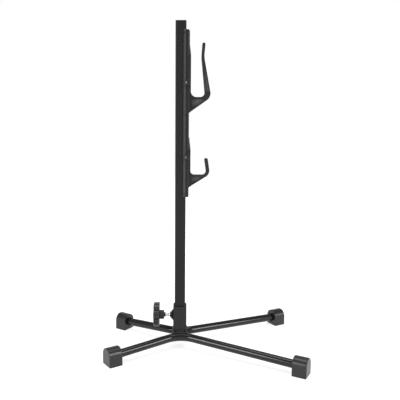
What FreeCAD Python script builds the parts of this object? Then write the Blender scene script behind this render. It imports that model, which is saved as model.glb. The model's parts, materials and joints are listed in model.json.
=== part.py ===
import FreeCAD, Part
import math
import os
import re
import Sketcher
from FreeCAD import Matrix, Placement, Rotation, Vector

# Bicycle floor stand: a square post with a moulded rail and two sliding hooks,
# clamped in a welded base of two bent leg tubes on four feet.
# Frame: +X towards the hook side, +Y away from the viewer, +Z up, floor at Z = 0.
# The origin is the middle of the bounding box on the floor. Sizes in millimetres.

DIMENSIONS = {
    # overall sizes, reaches and spreads measured from the post axis to the foot centres
    "stand_height": 770.5,
    "left_reach": 149.0,
    "left_spread": 112.5,
    "right_reach": 262.5,
    "right_spread": 155.0,
    # leg tubes
    "tube_diameter": 19.0,
    "tube_wall": 1.5,
    "tube_bend": 58.0,
    "apex_offset": 11.3,
    "apex_height": 29.0,
    "foot_axis": 19.5,
    # feet
    "foot_length": 32.0,
    "foot_width": 36.0,
    "foot_height": 39.5,
    "foot_arch": 16.5,
    "foot_edge": 1.5,
    "foot_bore_depth": 24.0,
    "foot_bore_play": 0.1,
    "foot_entry": 1.4,
    "foot_entry_depth": 2.5,
    "tube_end_gap": 0.5,
    # base plate and sleeve
    "plate_length": 36.0,
    "plate_width": 46.0,
    "plate_thick": 3.5,
    "plate_corner": 3.0,
    "plate_seat": 0.1,
    "sleeve_wall": 3.0,
    "sleeve_play": 0.5,
    "sleeve_hole_play": 0.28,
    "sleeve_corner": 3.0,
    "sleeve_height": 60.0,
    "sleeve_weld": 2.5,
    "sleeve_weld_length": 18.0,
    # clamp screw of the sleeve
    "knob_height": 76.6,
    "knob_radius": 29.5,
    "knob_thick": 14.5,
    "knob_lobes": 7.0,
    "knob_scallop": 7.5,
    "knob_scallop_offset": 32.5,
    "knob_lobe_round": 4.0,
    "knob_edge": 2.0,
    "knob_distance": 33.4,
    "hub_radius": 10.8,
    "hub_length": 11.0,
    "hub_flute": 1.6,
    "hub_flutes": 12.0,
    "collar_radius": 5.5,
    "collar_length": 3.4,
    "stud_radius": 4.0,
    "stud_in_knob": 16.0,
    "stud_grip": 0.05,
    "stud_chamfer": 0.8,
    "stud_play": 0.08,
    "nut_flats": 13.0,
    "nut_thick": 8.0,
    "nut_weld_radius": 15.0,
    "nut_weld_depth": 5.5,
    "nut_weld_top": 8.6,
    "pad_radius": 3.6,
    "pad_thick": 2.4,
    "pad_gap": 0.05,
    # post
    "post_width": 25.0,
    "post_wall": 1.5,
    "post_corner": 2.5,
    "post_seat": 0.1,
    "cap_head": 2.0,
    "cap_skirt": 14.0,
    "cap_wall": 1.6,
    "cap_play": 0.1,
    # rail on the right face of the post
    "rail_drop": 20.0,
    "rail_length": 384.0,
    "rail_depth": 6.9,
    "rail_overhang": 0.5,
    "rail_edge": 1.7,
    "rail_end": 2.5,
    "lip_reach": 6.0,
    "lip_thick": 2.2,
    "groove_start": 1.0,
    "groove_width": 1.5,
    "groove_depth": 2.4,
    "cavity_wall": 2.3,
    "cavity_depth": 4.7,
    "rail_rib": 1.6,
    "rail_cells": 8.0,
    # rail screws
    "rail_screw_radius": 1.5,
    "rail_screw_head": 2.1,
    "rail_screw_cap": 1.2,
    "rail_screw_length": 6.0,
    "screw_play": 0.1,
    "rail_screw_inset": 3.9,
    "rail_screw_margin": 8.0,
    # hooks
    "slide_play": 0.1,
    "hook_width": 16.0,
    "hook_web": 5.0,
    "hook_flange": 3.2,
    "hook_base": 1.6,
    "hook_plate": 3.9,
    "skirt_thick": 2.0,
    "skirt_play": 0.25,
    "ear_margin": 0.05,
    "ear_rim": 1.1,
    "ear_height": 16.0,
    "ear_edge": 2.0,
    "ear_front": 3.4,
    "skirt_lift": 0.2,
    "base_round": 4.0,
    "plate_tip": 1.2,
    "plate_blend": 30.0,
    "tongue_bend": 60.0,
    "tip_round": 3.2,
    "tongue_rim": 2.4,
    "tongue_groove": 3.0,
    "gusset_round": 1.6,
    "groove_round": 1.0,
    # upper hook: its seat above the rail's end, the rest from the rail's face and the seat
    "upper_seat": 232.7,
    "upper_below": 35.7,
    "upper_reach": 51.1,
    "upper_reach_level": 0.3,
    "upper_reach_round": 18.0,
    "upper_bend_out": 34.1,
    "upper_bend_in": 27.6,
    "upper_bend_level": 90.5,
    "upper_tip_out": 36.9,
    "upper_tip_in": 29.7,
    "upper_tip": 122.4,
    "upper_throat": 36.5,
    "upper_throat_round": 10.0,
    "upper_seat_round": 13.0,
    "upper_thick_level": 94.0,
    "upper_thin_level": 118.5,
    "upper_above": 149.5,
    "upper_ear": 31.0,
    "upper_groove_low": 12.0,
    "upper_groove_high": 70.0,
    # lower hook
    "lower_seat": 52.8,
    "lower_below": 30.0,
    "lower_reach": 49.7,
    "lower_reach_level": 1.3,
    "lower_reach_round": 17.0,
    "lower_bend_out": 46.8,
    "lower_bend_in": 38.5,
    "lower_bend_level": 21.0,
    "lower_tip_out": 44.2,
    "lower_tip_in": 35.7,
    "lower_tip": 38.8,
    "lower_throat": 41.2,
    "lower_throat_round": 9.0,
    "lower_seat_round": 9.0,
    "lower_thick_level": 58.0,
    "lower_thin_level": 82.0,
    "lower_above": 87.0,
    "lower_ear": 41.0,
    "lower_groove_low": 8.0,
    "lower_groove_high": 18.0,
    # clamp screws of the hooks
    "jaw_thick": 1.2,
    "jaw_height": 14.0,
    "jaw_inset": 0.4,
    "jaw_play": 0.15,
    "clamp_radius": 2.0,
    "clamp_play": 0.08,
    "clamp_head_radius": 3.3,
    "clamp_head": 3.4,
    "clamp_socket": 3.0,
    "clamp_nut_flats": 6.8,
    "clamp_nut": 2.6,
    "clamp_tip": 0.6,
}


def leg_frame(side):
    """Unit axes of one bent leg: along its feet, across, and normal to its plane."""
    left = Vector(-DIMENSIONS["left_reach"], side * DIMENSIONS["left_spread"], DIMENSIONS["foot_axis"])
    right = Vector(DIMENSIONS["right_reach"], side * DIMENSIONS["right_spread"], DIMENSIONS["foot_axis"])
    apex = Vector(0, side * DIMENSIONS["apex_offset"], DIMENSIONS["apex_height"])
    along = (right - left).normalize()
    normal = along.cross(apex - left).normalize()
    if normal.z < 0:
        normal = normal * -1
    return left, right, apex, along, normal.cross(along), normal


def foot_heading(side, end):
    """Outward unit direction of a foot on the floor."""
    left, right, apex = leg_frame(side)[:3]
    foot = left if end == "left" else right
    return Vector(foot.x - apex.x, foot.y - apex.y, 0).normalize()


def reach_of(end):
    """How far a foot's outer corner reaches from the post axis in X."""
    heading = foot_heading(-1, end)
    corner = DIMENSIONS["foot_length"] / 2 * abs(heading.x)
    corner += DIMENSIONS["foot_width"] / 2 * abs(heading.y)
    return DIMENSIONS[end + "_reach"] + corner


# the post axis stands left of the middle of the bounding box
DIMENSIONS["post_x"] = (reach_of("left") - reach_of("right")) / 2


def crest_height():
    """Highest point of a bent tube: where its bend runs level."""
    left, right, apex, along, across, normal = leg_frame(1)
    to_left = (left - apex).normalize()
    to_right = (right - apex).normalize()
    half = to_left.getAngle(to_right) / 2
    centre = apex + (to_left + to_right).normalize() * (DIMENSIONS["tube_bend"] / math.sin(half))
    bend_top = centre.z + abs(across.z) * DIMENSIONS["tube_bend"]
    return bend_top + DIMENSIONS["tube_diameter"] / 2 * normal.z


DIMENSIONS["plate_bottom"] = crest_height() + DIMENSIONS["plate_seat"]
DIMENSIONS["plate_top"] = DIMENSIONS["plate_bottom"] + DIMENSIONS["plate_thick"]
DIMENSIONS["post_bottom"] = DIMENSIONS["plate_top"] + DIMENSIONS["post_seat"]
DIMENSIONS["post_top"] = DIMENSIONS["stand_height"] - DIMENSIONS["cap_head"]


def total(*names):
    return sum(DIMENSIONS[name] for name in names)


# widths that follow from the post outwards
DIMENSIONS["sleeve_width"] = DIMENSIONS["post_width"] + 2 * total("sleeve_wall", "sleeve_play")
DIMENSIONS["rail_half"] = DIMENSIONS["post_width"] / 2 + DIMENSIONS["rail_overhang"]
DIMENSIONS["groove_half"] = DIMENSIONS["rail_half"] - DIMENSIONS["groove_depth"]
DIMENSIONS["cavity_half"] = DIMENSIONS["groove_half"] - DIMENSIONS["cavity_wall"]
DIMENSIONS["base_half"] = total("rail_half", "skirt_play", "skirt_thick")
DIMENSIONS["clamp_offset"] = total("base_half", "ear_margin", "clamp_head_radius")
DIMENSIONS["ear_out"] = total("clamp_offset", "clamp_head_radius", "ear_rim")
DIMENSIONS["jaw_out"] = DIMENSIONS["ear_out"] - DIMENSIONS["jaw_inset"]
DIMENSIONS["rail_bottom"] = DIMENSIONS["stand_height"] - total("rail_drop", "rail_length")

doc = FreeCAD.newDocument("BicycleFloorStand")
sheet = doc.addObject("Spreadsheet::Sheet", "Sizes")
for row, (alias, value) in enumerate(DIMENSIONS.items(), start=1):
    sheet.set("A%d" % row, alias)
    sheet.set("B%d" % row, repr(value))
    sheet.setAlias("B%d" % row, alias)
doc.recompute()

made = []


def bound(text):
    """The same expression with every size name pointing at its cell."""
    return re.sub(
        r"[a-z][a-z_0-9]*",
        lambda word: "Sizes." + word.group() if word.group() in DIMENSIONS else word.group(),
        text,
    )


def value_of(text):
    """Present value of an expression written in size names."""
    return float(sheet.evalExpression(bound(text)))


def bind(thing, prop, text):
    thing.setExpression(prop, bound(text))


def place(thing, x="0", y="0", z="0"):
    """Put a sub-part at a bound position."""
    for axis, text in zip("xyz", (x, y, z)):
        bind(thing, "Placement.Base." + axis, text)


def finish(thing, label):
    """Name a finished sub-part."""
    thing.Label = label
    made.append(thing)
    return thing


def new_body(name):
    return doc.addObject("PartDesign::Body", name)


def new_sketch(body, name, role, offset=None):
    """Sketch on one of the body's own origin planes, moved along its normal by a bound offset."""
    sketch = body.newObject("Sketcher::SketchObject", name)
    support = [f for f in body.Origin.OriginFeatures if f.Role == role][0]
    sketch.AttachmentSupport = [(support, "")]
    sketch.MapMode = "FlatFace"
    if offset is not None:
        bind(sketch, "AttachmentOffset.Base.z", offset)
    return sketch


def pin_point(sketch, geometry, spot, x_text, y_text):
    """Hold one sketch point at a bound position."""
    for kind, text in (("DistanceX", x_text), ("DistanceY", y_text)):
        index = sketch.addConstraint(
            Sketcher.Constraint(kind, -1, 1, geometry, spot, value_of(text))
        )
        sketch.setExpression("Constraints[%d]" % index, bound(text))


def hold_radius(sketch, geometry, text):
    index = sketch.addConstraint(Sketcher.Constraint("Radius", geometry, value_of(text)))
    sketch.setExpression("Constraints[%d]" % index, bound(text))


def add_circle(sketch, x_text, y_text, radius_text):
    centre = Vector(value_of(x_text), value_of(y_text), 0)
    circle = Part.Circle(centre, Vector(0, 0, 1), value_of(radius_text))
    index = sketch.addGeometry(circle, False)
    pin_point(sketch, index, 3, x_text, y_text)
    hold_radius(sketch, index, radius_text)


def add_outline(sketch, corners, closed=True):
    """Straight sides through bound corners; a corner with a third text is rounded by it."""
    spots = [Vector(value_of(c[0]), value_of(c[1]), 0) for c in corners]
    count = len(corners)
    cuts = []
    for i, corner in enumerate(corners):
        here = spots[i]
        rounded = len(corner) > 2 and (closed or 0 < i < count - 1)
        if not rounded:
            cuts.append((here, here, None, None, False))
            continue
        back = (spots[i - 1] - here).normalize()
        ahead = (spots[(i + 1) % count] - here).normalize()
        half = back.getAngle(ahead) / 2
        radius = value_of(corner[2])
        trim = radius / math.tan(half)
        centre = here + (back + ahead).normalize() * (radius / math.sin(half))
        leftward = ahead.cross(back).z > 0
        cuts.append((here + back * trim, here + ahead * trim, centre, radius, leftward))
    sides = count if closed else count - 1
    lines = []
    for i in range(sides):
        line = Part.LineSegment(cuts[i][1], cuts[(i + 1) % count][0])
        lines.append(sketch.addGeometry(line, False))
    for i, corner in enumerate(corners):
        start, end, centre, radius, leftward = cuts[i]
        after = lines[i] if i < sides else None
        before = lines[i - 1] if closed or i > 0 else None
        if centre is None:
            if before is not None and after is not None:
                sketch.addConstraint(Sketcher.Constraint("Coincident", before, 2, after, 1))
            if after is not None:
                pin_point(sketch, after, 1, corner[0], corner[1])
            else:
                pin_point(sketch, before, 2, corner[0], corner[1])
            continue
        first, last = (start, end) if leftward else (end, start)
        angles = [math.atan2(p.y - centre.y, p.x - centre.x) for p in (first, last)]
        if angles[1] < angles[0]:
            angles[1] += 2 * math.pi
        circle = Part.Circle(centre, Vector(0, 0, 1), radius)
        arc = sketch.addGeometry(Part.ArcOfCircle(circle, angles[0], angles[1]), False)
        mark = sketch.addGeometry(Part.Point(spots[i]), True)
        pin_point(sketch, mark, 1, corner[0], corner[1])
        sketch.addConstraint(Sketcher.Constraint("PointOnObject", mark, 1, before))
        sketch.addConstraint(Sketcher.Constraint("PointOnObject", mark, 1, after))
        first_spot, last_spot = (1, 2) if leftward else (2, 1)
        sketch.addConstraint(Sketcher.Constraint("Tangent", before, 2, arc, first_spot))
        sketch.addConstraint(Sketcher.Constraint("Tangent", arc, last_spot, after, 1))
        hold_radius(sketch, arc, corner[2])


def rectangle(half_x, half_y, corner=None):
    """Corners of a centred rectangle."""
    tail = () if corner is None else (corner,)
    signs = ((-1, -1), (1, -1), (1, 1), (-1, 1))
    return [("%d * (%s)" % (sx, half_x), "%d * (%s)" % (sy, half_y)) + tail for sx, sy in signs]


def pad(body, name, sketch, length, midplane=False, reverse=False, taper=None):
    feature = body.newObject("PartDesign::Pad", name)
    feature.Profile = sketch
    feature.Midplane = midplane
    feature.Reversed = reverse
    if taper is not None:
        feature.TaperAngle = taper
    bind(feature, "Length", length)
    doc.recompute()
    return feature


def pocket(body, name, sketch, length, midplane=False, reverse=False):
    before = body.Shape.Volume
    feature = body.newObject("PartDesign::Pocket", name)
    feature.Profile = sketch
    feature.Midplane = midplane
    feature.Reversed = reverse
    bind(feature, "Length", length)
    doc.recompute()
    if body.Shape.Volume > before - 0.01:
        raise RuntimeError("%s cuts nothing" % name)
    return feature


def dress(body, kind, name, amount, chosen):
    """Fillet or chamfer the edges of the body's tip that the test picks."""
    base = body.Tip
    edges = ["Edge%d" % i for i, edge in enumerate(base.Shape.Edges, start=1) if chosen(edge)]
    feature = body.newObject("PartDesign::" + kind, name)
    feature.Base = (base, edges)
    bind(feature, "Radius" if kind == "Fillet" else "Size", amount)
    doc.recompute()
    if not edges or "Invalid" in feature.State:
        raise RuntimeError("%s dresses nothing" % name)
    return feature


def all_at(edge, axis, level, margin=0.01):
    """Whether the whole edge lies at one level of an axis."""
    box = edge.BoundBox
    low, high = {"x": (box.XMin, box.XMax), "y": (box.YMin, box.YMax), "z": (box.ZMin, box.ZMax)}[axis]
    return abs(low - level) < margin and abs(high - level) < margin


def drill(body, name, radius, length, base, direction):
    """Round hole from a point along a direction."""
    before = body.Shape.Volume
    feature = body.newObject("PartDesign::SubtractiveCylinder", name)
    bind(feature, "Radius", radius)
    bind(feature, "Height", length)
    feature.Placement = Placement(base, Rotation(Vector(0, 0, 1), direction))
    doc.recompute()
    if body.Shape.Volume > before - 0.01:
        raise RuntimeError("%s cuts nothing" % name)
    return feature


# ---------------------------------------------------------------- leg tubes

def make_leg(label, side):
    """A round tube bent once, lying in a plane that dips towards its feet."""
    left, right, apex, along, across, normal = leg_frame(side)
    inset = value_of("foot_bore_depth - foot_length / 2 - tube_end_gap")
    body = new_body(label)
    path = new_sketch(body, label + "_path", "XY_Plane")
    ends = []
    for foot in (left, right):
        tip = foot - apex
        tip = tip + Vector(tip).normalize() * inset
        ends.append(("%.9f" % tip.dot(along), "%.9f" % tip.dot(across)))
    add_outline(path, [ends[0], ("0", "0", "tube_bend"), ends[1]], closed=False)
    section = body.newObject("Sketcher::SketchObject", label + "_section")
    doc.recompute()
    section.AttachmentSupport = [(path, "Edge1")]
    section.MapMode = "NormalToEdge"
    section.MapPathParameter = 0.0
    doc.recompute()
    add_circle(section, "0", "0", "tube_diameter / 2")
    add_circle(section, "0", "0", "tube_diameter / 2 - tube_wall")
    doc.recompute()
    tube = body.newObject("PartDesign::AdditivePipe", label + "_tube")
    tube.Profile = section
    tube.Spine = (path, ["Edge1", "Edge3", "Edge2"])
    doc.recompute()
    turn = Matrix(
        along.x, across.x, normal.x, 0,
        along.y, across.y, normal.y, 0,
        along.z, across.z, normal.z, 0,
        0, 0, 0, 1,
    )
    body.Placement = Placement(apex + Vector(DIMENSIONS["post_x"], 0, 0), Placement(turn).Rotation)
    return finish(body, label)


make_leg("front_leg", -1)
make_leg("rear_leg", 1)


# ---------------------------------------------------------------- feet

def make_foot(label, side, end):
    """Arched end cap with a flat bottom and a blind bore along the sloping tube."""
    left, right, apex = leg_frame(side)[:3]
    foot = left if end == "left" else right
    heading = foot_heading(side, end)
    body = new_body(label)
    outline = new_sketch(body, label + "_outline", "YZ_Plane")
    top = "foot_height"
    half = "foot_width / 2"
    add_outline(outline, [
        ("-(%s)" % half, "0"),
        (half, "0"),
        (half, top, "foot_arch"),
        ("-(%s)" % half, top, "foot_arch"),
    ])
    pad(body, label + "_block", outline, "foot_length", midplane=True)
    reach = value_of("foot_length / 2")
    dress(body, "Fillet", label + "_edges", "foot_edge",
          lambda e: all_at(e, "x", reach) or all_at(e, "x", -reach))
    slope = (foot - apex).normalize()
    outward = Vector(math.hypot(slope.x, slope.y), 0, slope.z)
    start = Vector(0, 0, foot.z) - outward * (reach + 4)
    drill(body, label + "_bore", "tube_diameter / 2 + foot_bore_play",
          "foot_bore_depth + 4", start, outward)
    drill(body, label + "_entry", "tube_diameter / 2 + foot_entry",
          "foot_entry_depth + 4", start, outward)
    angle = math.degrees(math.atan2(heading.y, heading.x))
    body.Placement = Placement(
        Vector(foot.x + DIMENSIONS["post_x"], foot.y, 0), Rotation(Vector(0, 0, 1), angle)
    )
    return finish(body, label)


for side, depth_word in ((-1, "front"), (1, "rear")):
    for end in ("left", "right"):
        make_foot("foot_%s_%s" % (depth_word, end), side, end)


# ---------------------------------------------------------------- base plate and sleeve

plate = new_body("base_plate")
outline = new_sketch(plate, "plate_outline", "XY_Plane")
add_outline(outline, rectangle("plate_length / 2", "plate_width / 2", "plate_corner"))
pad(plate, "plate_pad", outline, "plate_thick")
place(plate, "post_x", "0", "plate_bottom")
finish(plate, "base_plate")

sleeve = new_body("clamp_sleeve")
outline = new_sketch(sleeve, "sleeve_outline", "XY_Plane")
add_outline(outline, rectangle("sleeve_width / 2", "sleeve_width / 2", "sleeve_corner"))
bore_half = "sleeve_width / 2 - sleeve_wall"
add_outline(outline, rectangle(bore_half, bore_half, "post_corner"))
pad(sleeve, "sleeve_pad", outline, "sleeve_height")
hole = new_sketch(sleeve, "sleeve_hole", "YZ_Plane", offset="0 - sleeve_width / 2 - 1")
add_circle(hole, "0", "knob_height - plate_top", "stud_radius + sleeve_hole_play")
pocket(sleeve, "sleeve_hole_cut", hole, "sleeve_wall + 2", reverse=True)
place(sleeve, "post_x", "0", "plate_top")
finish(sleeve, "clamp_sleeve")

weld = new_body("sleeve_weld")
outline = new_sketch(weld, "weld_outline", "XY_Plane")
add_outline(outline, rectangle("sleeve_width / 2 + sleeve_weld", "sleeve_width / 2 + sleeve_weld",
                               "sleeve_corner + sleeve_weld"))
pad(weld, "weld_pad", outline, "sleeve_weld", taper=-44)
core = new_sketch(weld, "weld_core", "XY_Plane")
add_outline(core, rectangle("sleeve_width / 2", "sleeve_width / 2", "sleeve_corner"))
pocket(weld, "weld_core_cut", core, "sleeve_weld + 1", reverse=True)
# the ring is left off at the corners, so one bead runs along the middle of each side
corners = new_sketch(weld, "weld_corners", "XY_Plane")
near, far = "(sleeve_weld_length / 2)", "(sleeve_width / 2 + sleeve_weld * 2)"
for x_sign, y_sign in (("-", "-"), ("", "-"), ("", ""), ("-", "")):
    add_outline(corners, [
        (x_sign + near, y_sign + near),
        (x_sign + far, y_sign + near),
        (x_sign + far, y_sign + far),
        (x_sign + near, y_sign + far),
    ])
pocket(weld, "weld_corner_cut", corners, "sleeve_weld + 1", reverse=True)
place(weld, "post_x", "0", "plate_top")
finish(weld, "sleeve_weld")

# nut welded to the left face of the sleeve, on the screw's axis
FACE_LEFT = "post_x - sleeve_width / 2"


def hexagon(flats):
    """Corners of a hexagon standing on a corner, given across its flats."""
    wide = "(%s) / 2" % flats
    tall = "(%s) / sqrt(3)" % flats
    half = "(%s) / sqrt(3) / 2" % flats
    return [
        (wide, half), ("0", tall), ("-" + wide, half),
        ("-" + wide, "-" + half), ("0", "-" + tall), (wide, "-" + half),
    ]


nut = new_body("weld_nut")
outline = new_sketch(nut, "nut_outline", "YZ_Plane")
add_outline(outline, hexagon("nut_flats"))
add_circle(outline, "0", "0", "stud_radius + stud_play")
pad(nut, "nut_pad", outline, "nut_thick", reverse=True)
place(nut, FACE_LEFT, "0", "knob_height")
finish(nut, "weld_nut")

bead = new_body("nut_weld")
ring = new_sketch(bead, "bead_ring", "YZ_Plane")
add_circle(ring, "0", "0", "nut_weld_radius")
far_ring = new_sketch(bead, "bead_far_ring", "YZ_Plane", offset="0 - nut_weld_depth")
add_circle(far_ring, "0", "0", "nut_weld_top")
doc.recompute()
cone = bead.newObject("PartDesign::AdditiveLoft", "bead_cone")
cone.Profile = ring
cone.Sections = [far_ring]
doc.recompute()
core = new_sketch(bead, "bead_core", "YZ_Plane")
add_outline(core, hexagon("nut_flats"))
pocket(bead, "bead_core_cut", core, "nut_weld_depth * 2", midplane=False)
place(bead, FACE_LEFT, "0", "knob_height")
finish(bead, "nut_weld")


# ---------------------------------------------------------------- clamp screw of the sleeve

def repeat_around(body, name, feature, count):
    """Repeat a cut evenly around the body's X axis."""
    before = body.Shape.Volume
    pattern = body.newObject("PartDesign::PolarPattern", name)
    pattern.Originals = [feature]
    pattern.Axis = ([f for f in body.Origin.OriginFeatures if f.Role == "X_Axis"][0], [""])
    pattern.Angle = 360
    bind(pattern, "Occurrences", count)
    body.Tip = pattern
    doc.recompute()
    if body.Shape.Volume > before - 0.01:
        raise RuntimeError("%s repeats nothing" % name)
    return pattern


KNOB_FACE = FACE_LEFT + " - knob_distance"

knob = new_body("knob_head")
outline = new_sketch(knob, "knob_outline", "YZ_Plane")
add_circle(outline, "0", "0", "knob_radius")
pad(knob, "knob_disc", outline, "knob_thick", reverse=True)
scallop = new_sketch(knob, "knob_scallop_outline", "YZ_Plane")
add_circle(scallop, "0", "knob_scallop_offset", "knob_scallop")
cut = pocket(knob, "knob_scallop_cut", scallop, "knob_thick * 3", midplane=True)
repeat_around(knob, "knob_lobe_pattern", cut, "knob_lobes")
dress(knob, "Fillet", "knob_lobe_corners", "knob_lobe_round",
      lambda e: e.BoundBox.YLength + e.BoundBox.ZLength < 0.01)
rim_levels = (0.0, -value_of("knob_thick"))
dress(knob, "Fillet", "knob_rim", "knob_edge",
      lambda e: any(all_at(e, "x", level) for level in rim_levels))
outline = new_sketch(knob, "hub_outline", "YZ_Plane")
add_circle(outline, "0", "0", "hub_radius")
pad(knob, "hub_pad", outline, "hub_length")
flute = new_sketch(knob, "hub_flute_outline", "YZ_Plane", offset="0.01")
add_circle(flute, "0", "hub_radius + hub_flute / 2", "hub_flute")
cut = pocket(knob, "hub_flute_cut", flute, "hub_length + 1", reverse=True)
repeat_around(knob, "hub_flute_pattern", cut, "hub_flutes")
outline = new_sketch(knob, "collar_outline", "YZ_Plane")
add_circle(outline, "0", "0", "collar_radius")
pad(knob, "collar_pad", outline, "hub_length + collar_length")
bore = new_sketch(knob, "knob_bore_outline", "YZ_Plane", offset="hub_length + collar_length")
add_circle(bore, "0", "0", "stud_radius + stud_grip")
pocket(knob, "knob_bore_cut", bore, "stud_in_knob + stud_grip")
place(knob, KNOB_FACE, "0", "knob_height")
finish(knob, "knob_head")

PAD_FACE = "post_width / 2 + pad_gap"
STUD_TIP = PAD_FACE + " + pad_thick + pad_gap"
KNOB_TIP = "sleeve_width / 2 + knob_distance - hub_length - collar_length"

stud = new_body("knob_stud")
outline = new_sketch(stud, "stud_outline", "YZ_Plane")
add_circle(outline, "0", "0", "stud_radius")
pad(stud, "stud_pad", outline, KNOB_TIP + " + stud_in_knob - (%s)" % STUD_TIP, reverse=True)
dress(stud, "Chamfer", "stud_point", "stud_chamfer", lambda e: all_at(e, "x", 0.0))
place(stud, "post_x - (%s)" % STUD_TIP, "0", "knob_height")
finish(stud, "knob_stud")

disc = new_body("clamp_pad")
outline = new_sketch(disc, "pad_outline", "YZ_Plane")
add_circle(outline, "0", "0", "pad_radius")
pad(disc, "pad_disc", outline, "pad_thick", reverse=True)
place(disc, "post_x - (%s)" % PAD_FACE, "0", "knob_height")
finish(disc, "clamp_pad")

# ---------------------------------------------------------------- post and its cap

SCREW_LEVELS = [
    "rail_screw_margin",
    "rail_length / 2",
    "rail_length - rail_screw_margin",
]

post = new_body("post_tube")
outline = new_sketch(post, "post_outline", "XY_Plane")
add_outline(outline, rectangle("post_width / 2", "post_width / 2", "post_corner"))
inner = "post_width / 2 - post_wall"
add_outline(outline, rectangle(inner, inner, "post_corner - post_wall"))
pad(post, "post_pad", outline, "post_top - post_bottom")
holes = new_sketch(post, "post_holes", "XZ_Plane")
for level in SCREW_LEVELS:
    add_circle(holes, "post_width / 2 - rail_screw_inset",
               "rail_bottom - post_bottom + " + level, "rail_screw_radius + screw_play")
pocket(post, "post_holes_cut", holes, "post_width * 2", midplane=True)
place(post, "post_x", "0", "post_bottom")
finish(post, "post_tube")

cap = new_body("post_cap")
outline = new_sketch(cap, "cap_outline", "XY_Plane")
add_outline(outline, rectangle("post_width / 2", "post_width / 2", "post_corner"))
pad(cap, "cap_head_pad", outline, "cap_head")
top_level = value_of("cap_head")
dress(cap, "Fillet", "cap_rim", "cap_head / 2", lambda e: all_at(e, "z", top_level))
skirt = new_sketch(cap, "cap_skirt_outline", "XY_Plane")
outer = "post_width / 2 - post_wall - cap_play"
add_outline(skirt, rectangle(outer, outer, "post_corner - post_wall"))
inner = "post_width / 2 - post_wall - cap_play - cap_wall"
add_outline(skirt, rectangle(inner, inner))
pad(cap, "cap_skirt_pad", skirt, "cap_skirt", reverse=True)
place(cap, "post_x", "0", "post_top")
finish(cap, "post_cap")

# ---------------------------------------------------------------- rail

rail = new_body("hook_rail")
section = new_sketch(rail, "rail_section", "XY_Plane")
half_side = [
    ("-lip_reach", "post_width / 2"),
    ("-lip_reach", "post_width / 2 + lip_thick"),
    ("-groove_start", "post_width / 2 + lip_thick"),
    ("-groove_start", "post_width / 2 + lip_thick / 2"),
    ("groove_start", "post_width / 2 + lip_thick / 2"),
    ("groove_start", "groove_half"),
    ("groove_start + groove_width", "groove_half"),
    ("groove_start + groove_width", "rail_half"),
    ("rail_depth", "rail_half"),
]
inner_corner = [("0", "post_width / 2")]
lower_side = [(x, "-(%s)" % y) for x, y in reversed(inner_corner + half_side)]
add_outline(section, inner_corner + half_side + lower_side)
pad(rail, "rail_pad", section, "rail_length")
face_x, long_z, side_y = value_of("rail_depth"), value_of("rail_length"), value_of("rail_half")
dress(rail, "Fillet", "rail_ends", "rail_end",
      lambda e: all_at(e, "x", face_x) and (all_at(e, "z", 0.0) or all_at(e, "z", long_z)))
dress(rail, "Fillet", "rail_sides", "rail_edge",
      lambda e: (all_at(e, "y", side_y) or all_at(e, "y", -side_y)) and e.BoundBox.XMax > face_x - 0.5)
cell = new_sketch(rail, "rail_cell", "YZ_Plane")
cell_tall = "(rail_length - rail_rib) / rail_cells - rail_rib"
half_tall = "(%s) / 2" % cell_tall
add_outline(cell, [
    ("-cavity_half", "rail_rib"),
    ("cavity_half", "rail_rib"),
    ("cavity_half", "rail_rib + " + cell_tall),
    ("-cavity_half", "rail_rib + " + cell_tall),
])
cut = pocket(rail, "rail_cell_cut", cell, "cavity_depth", reverse=True)
cells = rail.newObject("PartDesign::LinearPattern", "rail_cell_pattern")
cells.Originals = [cut]
cells.Direction = ([f for f in rail.Origin.OriginFeatures if f.Role == "Z_Axis"][0], [""])
bind(cells, "Occurrences", "rail_cells")
bind(cells, "Length", "(rail_length - rail_rib) / rail_cells * (rail_cells - 1)")
rail.Tip = cells
doc.recompute()
holes = new_sketch(rail, "rail_holes", "XZ_Plane")
for level in SCREW_LEVELS:
    add_circle(holes, "-rail_screw_inset", level, "rail_screw_radius + screw_play")
pocket(rail, "rail_holes_cut", holes, "post_width * 2", midplane=True)
place(rail, "post_x + post_width / 2", "0", "rail_bottom")
finish(rail, "hook_rail")

# ---------------------------------------------------------------- hooks

HOOK_FACE = "post_x + post_width / 2 + rail_depth + slide_play"


def crossing(a, b, c, d):
    """Where the line a-b meets the line c-d."""
    u, v, w = b - a, d - c, c - a
    share = (w.x * v.y - w.y * v.x) / (u.x * v.y - u.y * v.x)
    return a + u * share


def shrink(spots, margins):
    """Corners of a counter-clockwise polygon whose sides move inwards by their margins."""
    moved = []
    for i, spot in enumerate(spots):
        nxt = spots[(i + 1) % len(spots)]
        side = (nxt - spot).normalize()
        inward = Vector(-side.y, side.x, 0) * margins[i]
        moved.append((spot + inward, nxt + inward))
    return [crossing(*moved[i - 1], *moved[i]) for i in range(len(moved))]


def texts(spots, corner):
    return [("%.6f" % p.x, "%.6f" % p.y, corner) for p in spots]


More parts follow.
